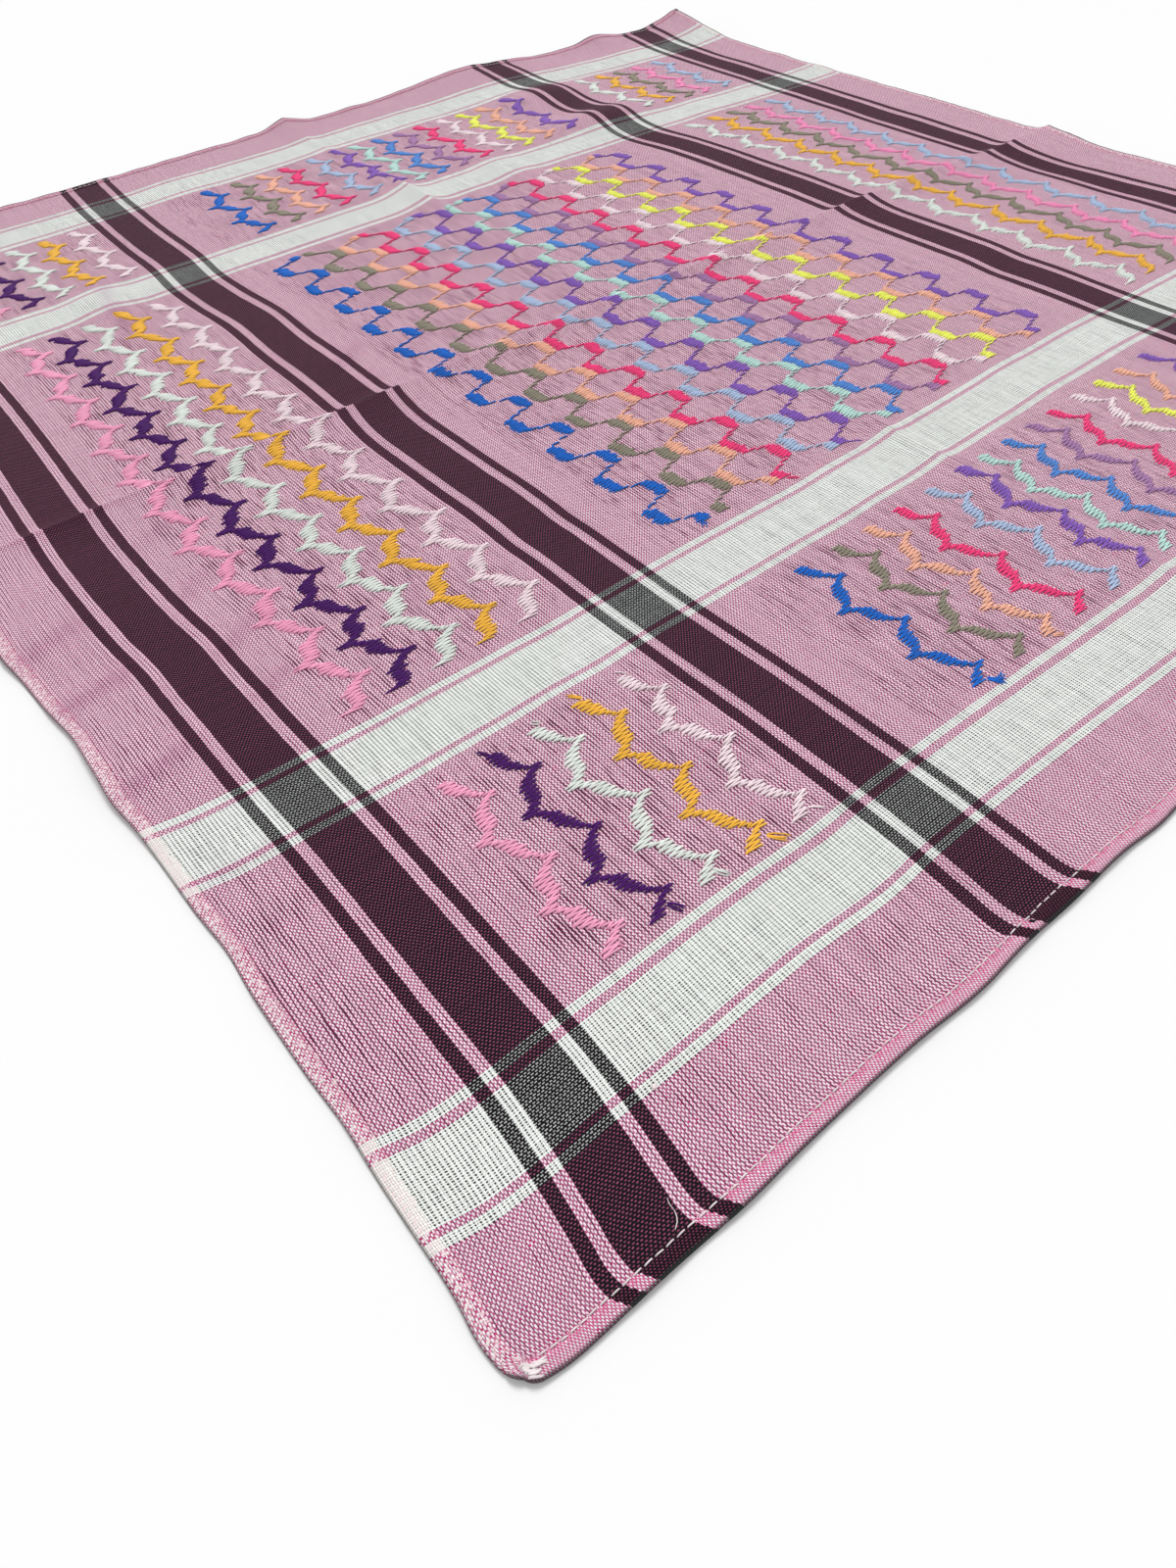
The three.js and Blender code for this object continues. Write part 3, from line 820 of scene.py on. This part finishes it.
class Graph:
    """A material's nodes, linked by what goes in. A tuple of three is an sRGB colour."""

    def __init__(self, name):
        self.material = bpy.data.materials.new(name)
        self.material.use_nodes = True
        self.tree = self.material.node_tree
        self.shader = self.tree.nodes["Principled BSDF"]

    def feed(self, socket, value):
        if isinstance(value, tuple) and len(value) == 3:
            value = linear(value)
        if isinstance(value, Value):
            self.tree.links.new(value.socket, socket)
        elif hasattr(socket.default_value, "__len__") and not hasattr(value, "__len__"):
            socket.default_value = [value] * len(socket.default_value)
        else:
            socket.default_value = value

    def node(self, kind, inputs, output=0, **settings):
        node = self.tree.nodes.new(kind)
        for name, setting in settings.items():
            setattr(node, name, setting)
        for key, value in inputs.items():
            self.feed(node.inputs[key], value)
        return Value(self, node.outputs[output])

    def math(self, operation, *values):
        return self.node("ShaderNodeMath", dict(enumerate(values)), operation=operation)

    def mix(self, share, first, second, blend="MIX"):
        inputs = {0: share, 6: first, 7: second}
        return self.node("ShaderNodeMix", inputs, 2, data_type="RGBA", blend_type=blend)

    def shaded(self, colour, factor):
        return self.mix(1.0, colour, factor, "MULTIPLY")

    def streaks(self, a, rate_a, b, rate_b, layer=0.0, detail=1.0):
        """Noise over two places, stretched by a rate along each. Each layer is another pattern."""
        vector = self.node("ShaderNodeCombineXYZ", {0: a * rate_a, 1: b * rate_b, 2: layer})
        return self.node("ShaderNodeTexNoise", {"Vector": vector, "Scale": 1.0, "Detail": detail})

    def attribute(self, name):
        vector = self.node("ShaderNodeAttribute", {}, "Vector", attribute_name=name)
        return [self.node("ShaderNodeSeparateXYZ", {0: vector}, axis) for axis in range(3)]

    def finish(self, even, colour, height=None, deep=0.0, strength=1.0):
        """Sets the shader's even values, its colour, and a bump from a height of up to deep millimetres."""
        for name, value in even.items():
            self.shader.inputs[name].default_value = value
        self.feed(self.shader.inputs["Base Color"], colour)
        if height is not None:
            inputs = {"Height": height, "Distance": deep * MM, "Strength": strength}
            self.feed(self.shader.inputs["Normal"], self.node("ShaderNodeBump", inputs))
        return self.material


CLOTH_FINISH = {"Roughness": 0.9, "Specular IOR Level": 0.14, "Sheen Weight": 0.04, "Sheen Roughness": 0.5}
YARN_FINISH = {"Roughness": 0.6, "Specular IOR Level": 0.22, "Sheen Weight": 0.08, "Sheen Roughness": 0.4}
FLOOR_FINISH = {"Roughness": 0.9, "Specular IOR Level": 0.1}

# Colours are sRGB, and tints and painted shades are linear factors
SELVEDGE_PINK = (196, 54, 116)
SELVEDGE_PALE = (240, 158, 192)
SELVEDGE_WHITE = (252, 246, 242)
SELVEDGE_END = (250, 232, 240)
TURN_IN_WHITE = (252, 226, 234)
# Painted shade and shadow along the cloth's outer edges
EDGE_PAINTED_SHADE = (38, 50, 47)
# Painted shade in the selvedges' gaps between threads, as a factor
SELVEDGE_GAP_SHADE = (0.6, 0.5, 0.55, 1.0)
# Painted shade along the soft folds, as a factor
FOLD_PAINTED_SHADE = (0.83, 0.69, 0.79, 1.0)
# The sewing thread, as the yarns above
SEWING_THREAD = ((240, 228, 230), 0.6)
# The weft's turns along a selvedge: pitch, lean, and the strip that they show on
TURN_PITCH = 1.7
TURN_LEAN = -0.36
TURN_LINE = 1.3
# How far in from the edge the hem's stitches draw pink threads up
BLUSH_LINE = 3.5
# Bright flecks where a weft yarn was joined, and a dark one: middle (u, v) and half size each way
FLECKS = [(82.4, 12.6, 0.35, 0.9), (55.0, 16.9, 0.5, 0.4), (58.6, 88.3, 1.6, 0.3), (85.2, 28.9, 0.5, 0.3)]
DARK_SPOTS = [(139.0, 2.5, 0.5, 0.5)]
# The weave: wander, rim and bump are in millimetres, the rim being the width of the painted edge shade; gaps
# and half widths are shares of a thread's pitch, and lift and ride are in half widths
GROUND_LOOK = {
    "fineness": 1.0,
    "end_wander": 0.34,
    "square_wander": 0.7,
    "pick_wander": 0.3,
    "lean": 0.0,
    "pair_gap_least": 0.08,
    "pair_gap": 0.37,
    "white_gap_least": 0.12,
    "white_gap": 0.42,
    "dark_gap": 0.6,
    "pick_gap": 0.04,
    "white_pick_gap": 0.06,
    "end_half": 0.38,
    "dark_half": 0.5,
    "dark_lift": 1.3,
    "pick_half": 0.37,
    "ride": 0.8,
    # White ends in the pink ground, tinted pink as painted reflection from the picks round them
    "white_end": (250, 224, 234),
    "end_in_white": (252, 255, 251),
    "dark_end": (26, 18, 24),
    "pink_pick": (184, 92, 138),
    "slub_pick": (184, 58, 124),
    "fleck": (190, 30, 112),
    # Painted shade: the pink picks between the raised black ends of the dark stripes, darker
    "shaded_pink_pick": (160, 80, 116),
    "white_pick": (250, 254, 249),
    # Painted shade: the white picks there, greyer
    "shaded_white_pick": (200, 206, 202),
    # Painted shade in the gaps between threads, as a factor
    "gap": (0.14, 0.11, 0.13, 1.0),
    # Painted shade on the picks in the valleys between the ends: its least factor, and that in the white
    # stripes
    "valley": 0.3,
    "white_valley": 1.0,
    "white_thin": 0.74,
    "white_end_thin": 0.94,
    "low_shade": 0.35,
    "fringe": 0.8,
    "turns": 0.75,
    "stitch_blush": 0.6,
    "blush": (222, 78, 142),
    # Width and strength of the painted shade and shadow along the outer edge
    "rim": 0.5,
    "edge_shade_share": 0.84,
    "bump": 0.09,
}
HEM_LOOK = {
    **GROUND_LOOK,
    "fineness": 0.8,
    "lean": -0.3,
    "pair_gap_least": 0.0,
    "pair_gap": 0.08,
    "pick_half": 0.42,
    # The hem's white ends, tinted pink as the same painted reflection
    "white_end": (250, 232, 240),
    "dark_end": (20, 12, 18),
    # Painted shade on the hem's pink picks in the dark stripes
    "shaded_pink_pick": (136, 60, 94),
    "pink_pick": (216, 104, 154),
    "slub_pick": (214, 86, 142),
    "gap": (0.4, 0.3, 0.34, 1.0),
    "valley": 0.75,
    "fringe": 0.0,
    "turns": 0.0,
    "stitch_blush": 0.9,
    "rim": 0.8,
}


def thread_height(offset, half_width, lift):
    """Height of a round thread at an offset from its middle, and 1 where the thread is."""
    flat = offset / half_width
    round_top = 1.0 - flat * flat
    inside = round_top > 0.0
    return round_top.most(0.0).sqrt() + lift + inside.choose(-3.0, 0.0), inside


def stripe_mask(place, stripes):
    """1 in the wide and thin parts of the stripes, 0 elsewhere."""
    distance = None
    for middle in stripes["middles"]:
        offset = abs(place - middle)
        distance = offset if distance is None else distance.least(offset)
    thin = (distance > stripes["thin_from"]) * (distance < stripes["thin_to"])
    return (distance < stripes["wide"]) + thin


class Weave(Graph):
    """Plain weave of round threads: white or black ends, pink or white picks, and painted shade in the gaps
    between them.
    """

    def __init__(self, name, look):
        super().__init__(name)
        self.look = look
        self.along_u, self.along_v, self.side = self.attribute("cut")
        self.opened, self.fold, self.outer = self.attribute("laid")
        self.bright = self.streaks(self.along_u, 0.9, self.along_v, 0.9, 8.0, detail=2.0)
        self.find_selvedges()
        self.count_threads()
        self.space_threads()
        self.raise_threads()
        self.find_blush()

    def spots(self, places):
        """1 on a few small places of the cut, 0 elsewhere."""
        total = None
        for middle_u, middle_v, half_u, half_v in places:
            offset_u = abs(self.along_u - middle_u) * (1 / half_u)
            offset_v = abs(self.along_v - middle_v) * (1 / half_v)
            here = offset_u.most(offset_v) < 1.0
            total = here if total is None else total.most(here)
        return total

    def find_selvedges(self):
        """dense is 1 in the selvedges, which have a ragged inner border, and 0 in the open ground."""
        ragged = self.streaks(self.along_u, 0.5, self.along_v, 0.55, 4.0, detail=3.0)
        self.from_edge = self.along_u.least(CLOTH_WIDTH - self.along_u) + (ragged - 0.5) * 3.4
        self.dense = self.from_edge.map(SELVEDGE_WIDTH - 0.2, SELVEDGE_WIDTH + 0.4, 1.0, 0.0)

    def count_threads(self):
        """The number of the end and the pick at each place, the place across both, and which yarn each is."""
        look = self.look
        end_wander = self.streaks(self.along_u, 1.1, self.along_v, 0.16)
        pick_wander = self.streaks(self.along_u, 0.12, self.along_v, 0.9, 7.0)
        wander = self.opened.map(0.5, 1.1, look["end_wander"], look["square_wander"])
        lean = self.along_v * look["lean"]
        u = self.along_u + (end_wander - 0.5) * wander + lean
        v = self.along_v + (pick_wander - 0.5) * look["pick_wander"]
        end_pitch, pick_pitch = END * look["fineness"], PICK * look["fineness"]
        end_place, pick_place = u * (1 / end_pitch), v * (1 / pick_pitch)
        self.end, self.pick = math.floor(end_place), math.floor(pick_place)
        self.across_end = end_place - self.end - 0.5
        self.across_pick = pick_place - self.pick - 0.5
        self.dark = stripe_mask((self.end + 0.5) * end_pitch - lean, DARK_STRIPES)
        self.white = stripe_mask((self.pick + 0.5) * pick_pitch, WHITE_STRIPES)
        self.in_white = stripe_mask(self.along_v, WHITE_STRIPES)

    def paired(self, number, gap):
        """The shift that brings every second thread and the next one together."""
        return (abs(number) % 2.0).choose(-1.0, 1.0) * gap

    def space_threads(self):
        """Ends stand in pairs, as the reed left them, with an uneven gap after each pair that the painted
        shade darkens.
        """
        look = self.look
        uneven = self.streaks(math.floor(self.end * 0.5), 0.83, self.along_v, 0.07, 3.0, detail=2.0)
        gap = uneven.map(0.42, 0.66, look["pair_gap_least"], look["pair_gap"]) * self.opened
        white_gap = uneven.map(0.4, 0.68, look["white_gap_least"], look["white_gap"])
        gap = self.mix(self.in_white, gap, white_gap)
        gap = gap * self.dense.choose(1.0, 0.1) * self.dark.choose(1.0, look["dark_gap"])
        pick_gap = self.in_white.choose(look["pick_gap"], look["white_pick_gap"])
        self.across_end = self.across_end + self.paired(self.end, gap)
        self.across_pick = self.across_pick + self.paired(self.pick, pick_gap)

    def half_widths(self):
        look = self.look
        uneven = self.streaks(self.end, 0.61, self.along_v, 0.9, 2.0, detail=2.0)
        end_half = self.dark.choose(look["end_half"], look["dark_half"]) * uneven.map(0.3, 0.7, 0.86, 1.14)
        end_half = end_half * self.in_white.choose(1.0, look["white_end_thin"])
        uneven = self.streaks(self.along_u, 0.8, self.pick, 0.57, 11.0, detail=2.0)
        pick_half = uneven.map(0.3, 0.7, look["pick_half"] * 0.84, look["pick_half"] * 1.16)
        return end_half, pick_half * self.white.choose(1.0, look["white_thin"])

    def raise_threads(self):
        """The height of the weave, whether the end is on top there, and whether there is a thread at all."""
        ride = self.look["ride"]
        end_half, pick_half = self.half_widths()
        warp_up = (abs(self.end + self.pick) % 2.0).choose(1.0, -1.0)
        end_ride = warp_up * (self.across_pick * math.pi).cos()
        pick_ride = warp_up * (self.across_end * math.pi).cos()
        end_lift = end_ride * ride + self.dark * self.look["dark_lift"]
        end_height, end_inside = thread_height(self.across_end, end_half, end_lift)
        pick_height, pick_inside = thread_height(self.across_pick, pick_half, pick_ride * -ride)
        self.warp_seen = end_height > pick_height
        self.height = end_height.most(pick_height).most(-1.0)
        self.solid = end_inside.most(pick_inside)

    def find_blush(self):
        """Where the hem's stitches draw pink threads to the face."""
        by_stitches = abs(self.outer - BLUSH_LINE).map(0.5, 1.5, self.look["stitch_blush"], 0.0)
        self.blushed = by_stitches * self.bright.map(0.46, 0.56) * (1.0 - self.white)

    def warp_colour(self):
        look = self.look
        plain = self.mix(self.white, look["white_end"], look["end_in_white"])
        plain = self.mix(self.dense, plain, self.mix(self.white, SELVEDGE_END, SELVEDGE_WHITE))
        plain = self.mix(self.blushed * 0.6, plain, look["blush"])
        tone = self.streaks(self.end, 0.71, self.along_v, 0.02, 1.0, detail=0.0)
        return self.shaded(self.mix(self.dark, plain, look["dark_end"]), tone.map(0.3, 0.7, 0.9, 1.06))

    def pink_weft(self):
        look = self.look
        slub = self.streaks(self.along_u, 0.16, self.pick, 0.9, 9.0)
        fleck = self.streaks(self.along_u, 0.21, self.along_v, 0.34, 17.0, detail=0.0)
        pink = self.mix(slub.map(0.55, 0.7), look["pink_pick"], look["slub_pick"])
        pink = self.mix(fleck.map(0.795, 0.81), pink, look["fleck"])
        pink = self.mix(self.spots(FLECKS), pink, look["fleck"])
        pink = self.mix(self.blushed, pink, look["blush"])
        selvedge = self.mix(self.bright.map(0.42, 0.62), SELVEDGE_PINK, SELVEDGE_PALE)
        # Painted shade: darker pink picks in the dark stripes
        return self.mix(self.dark, self.mix(self.dense, pink, selvedge), look["shaded_pink_pick"])

    def weft_colour(self):
        """Colour of the picks, with painted shade in the valleys between the pairs of ends."""
        look = self.look
        white = self.mix(self.dense, look["white_pick"], SELVEDGE_WHITE)
        # Painted shade: greyer white picks in the dark stripes
        white = self.mix(self.dark, white, look["shaded_white_pick"])
        colour = self.mix(self.white, self.pink_weft(), white)
        lowest = self.white.choose(look["valley"], look["white_valley"])
        valley = abs(self.across_end).map(look["end_half"], look["end_half"] + 0.2, 1.0, lowest)
        colour = self.shaded(colour, valley.most(self.dense * 0.8))
        tone = self.streaks(self.along_u, 0.012, self.pick, 0.77, 5.0, detail=2.0)
        return self.shaded(colour, tone.map(0.3, 0.7, 0.84, 1.1))

    def woven_colour(self):
        """The threads' colours, with painted shade low down on them and at its darkest in the gaps."""
        weft, warp = self.weft_colour(), self.warp_colour()
        gap = self.mix(self.dense, self.look["gap"], SELVEDGE_GAP_SHADE)
        # Painted shade in the gaps, over a mix of both threads
        shaded_beneath = self.shaded(self.mix(0.5, weft, warp), gap)
        colour = self.mix(self.solid, shaded_beneath, self.mix(self.warp_seen, weft, warp))
        shade = self.height.map(-0.6, 1.3, self.look["low_shade"], 1.0)
        return self.shaded(colour, shade.most(self.dense * self.white * 0.95))

    def with_fringe(self, colour):
        """Short white ends of the weft stand out along the selvedge's inner border."""
        border = abs(self.from_edge - (SELVEDGE_WIDTH - 0.5)).map(0.3, 1.1, 1.0, 0.0)
        fringe = border * self.bright.map(0.5, 0.66) * self.look["fringe"]
        return self.mix(fringe, colour, SELVEDGE_WHITE)

    def with_turns(self, colour):
        """The weft's turns on the selvedge: slanting pale dashes, and pink dots in the white stripes."""
        place = self.along_v * (1 / TURN_PITCH) + self.along_u * TURN_LEAN
        turned = (place.fract() < 0.4) * self.bright.map(0.4, 0.52)
        turned = turned * abs(self.outer - TURN_LINE).map(0.5, 0.9, 1.0, 0.0)
        turned = turned * self.dense * self.look["turns"]
        return self.mix(turned, colour, self.mix(self.white, SELVEDGE_WHITE, TURN_IN_WHITE))

    def with_painted_edge_shade(self, colour):
        """Painted shade and shadow along the edges: the side walls, and a strip of the face by the outer edge
        that is wider on the far sides.
        """
        look = self.look
        edge = 1.0 - abs(self.side * 2.0 - 1.0)
        far_side = self.along_v.map(200.0, 560.0).most(self.along_u.map(200.0, 540.0))
        rim = (self.outer - far_side * 0.9).map(look["rim"] - 0.5, look["rim"] + 0.2, 1.0, 0.0)
        edge = edge.map(0.08, 0.5).most(rim)
        return self.mix(edge * look["edge_shade_share"], colour, EDGE_PAINTED_SHADE)


def weave_material(name, look):
    weave = Weave(name, look)
    colour = weave.with_turns(weave.with_fringe(weave.woven_colour()))
    # Painted shade along the soft folds
    colour = weave.mix(weave.fold, colour, weave.shaded(colour, FOLD_PAINTED_SHADE))
    # Painted shade and shadow along the edges, then a dark spot in the cloth
    colour = weave.mix(weave.spots(DARK_SPOTS), weave.with_painted_edge_shade(colour), look["dark_end"])
    return weave.finish(CLOTH_FINISH, colour, weave.height, look["bump"], 0.8)


def yarn_material(name, colour, depth, twist=0.75):
    """Soft two-ply yarn: the plies' twist in bump and painted shade, painted shade on each strand's lower
    sides, and each float a little lighter or darker.
    """
    graph = Graph("yarn_" + name)
    along, around, tint = graph.attribute("yarn")
    ply = abs(((along * (1 / twist) + around) * math.pi).sin())
    fibre = graph.streaks(along, 1.4, around, 26.0, tint * 40.0)
    colour = graph.shaded(colour, tint.map(0.0, 1.0, 0.9, 1.1))
    colour = graph.shaded(colour, ply.map(0.0, 0.5, 1 - 0.2 * depth, 1.0))
    # Painted shade on each strand's lower sides
    colour = graph.shaded(colour, abs(around - 0.5).map(0.14, 0.34, 1.0, 1 - 0.7 * depth))
    colour = graph.shaded(colour, fibre.map(0.3, 0.7, 0.92, 1.06))
    return graph.finish(YARN_FINISH, colour, ply + fibre * 0.4, 0.06, 0.7)


FLOOR_HALF = 4.0
FLOOR_DROP = 0.1
FLOOR_COLOUR = (0.93, 0.93, 0.93, 1)
WORLD_STRENGTH = 0.62
SUN_ENERGY = 1.75
SUN_SPREAD = 24
SUN_TOWARD = (-0.45, -0.7, -1.1)


def make_floor():
    mesh = bpy.data.meshes.new("floor")
    half = FLOOR_HALF
    corners = [(-half, -half, 0), (half, -half, 0), (half, half, 0), (-half, half, 0)]
    mesh.from_pydata(corners, [], [(0, 1, 2, 3)])
    floor = bpy.data.objects.new("floor", mesh)
    floor.location.z = -FLOOR_DROP * MM
    bpy.context.scene.collection.objects.link(floor)
    mesh.materials.append(Graph("floor").finish(FLOOR_FINISH, FLOOR_COLOUR))


def make_light():
    scene = bpy.context.scene
    world = bpy.data.worlds.new("studio")
    world.use_nodes = True
    world.node_tree.nodes["Background"].inputs["Color"].default_value = (1, 1, 1, 1)
    world.node_tree.nodes["Background"].inputs["Strength"].default_value = WORLD_STRENGTH
    scene.world = world
    sun = bpy.data.lights.new("window", "SUN")
    sun.energy = SUN_ENERGY
    sun.angle = math.radians(SUN_SPREAD)
    lamp = bpy.data.objects.new("window", sun)
    lamp.rotation_euler = Vector(SUN_TOWARD).to_track_quat("-Z", "Y").to_euler()
    scene.collection.objects.link(lamp)
    scene.view_settings.view_transform = "Standard"


# The camera as the photo was taken: over the near left corner, looking across the cloth
CAMERA_AT = (-280.1, -319.7, 190.4)
CAMERA_HEADING = 53.02
CAMERA_DOWN = 49.98
CAMERA_ROLL = -3.12
CAMERA_LENS = 23.14
CAMERA_SENSOR = 36


def make_camera():
    heading, down, roll = (math.radians(angle) for angle in (CAMERA_HEADING, CAMERA_DOWN, CAMERA_ROLL))
    look = Vector((math.cos(down) * math.cos(heading), math.cos(down) * math.sin(heading), -math.sin(down)))
    level = look.cross(Vector((0, 0, 1))).normalized()
    upright = level.cross(look)
    right = level * math.cos(roll) + upright * math.sin(roll)
    up = right.cross(look)
    data = bpy.data.cameras.new("camera")
    data.lens = CAMERA_LENS
    data.sensor_width = CAMERA_SENSOR
    data.clip_start = 0.01
    camera = bpy.data.objects.new("camera", data)
    axes = Matrix((right, up, -look)).transposed().to_4x4()
    camera.matrix_world = Matrix.Translation(Vector(CAMERA_AT) * MM) @ axes
    bpy.context.scene.collection.objects.link(camera)
    bpy.context.scene.camera = camera


make_camera()
make_light()
make_floor()

ground_weave = weave_material("ground_weave", GROUND_LOOK)
cloth = make_panel()
cloth.data.materials.append(ground_weave)
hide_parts("cloth_panel")

selvedges = [make_selvedge("selvedge_left_band", 0.0, 1)]
selvedges.append(make_selvedge("selvedge_right_band", CLOTH_WIDTH, -1))
for band, node in zip(selvedges, ("selvedge_left", "selvedge_right")):
    band.data.materials.append(ground_weave)
    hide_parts(node)

hem_weave = weave_material("hem_weave", HEM_LOOK)
hems = [make_hem("hem_near_fold", 0.0, 1), make_hem("hem_far_fold", CLOTH_LENGTH, -1)]
for fold, node in zip(hems, ("hem_near", "hem_far")):
    fold.data.materials.append(hem_weave)
    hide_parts(node)

floats = make_floats()

sewing_thread = yarn_material("sewing_thread", *SEWING_THREAD, twist=0.5)
stitches = [make_stitches("stitches_near", STITCH_LINE)]
stitches.append(make_stitches("stitches_far", CLOTH_LENGTH - STITCH_LINE))
stitches += [make_threads("bar_tack", BAR_TACK), make_threads("knot", KNOT)]
stitches.append(make_threads("loose_threads", LOOSE_THREADS))
for row in stitches:
    row.data.materials.append(sewing_thread)

for piece in [cloth, *selvedges, *hems, *floats, *stitches]:
    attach(piece, "root")
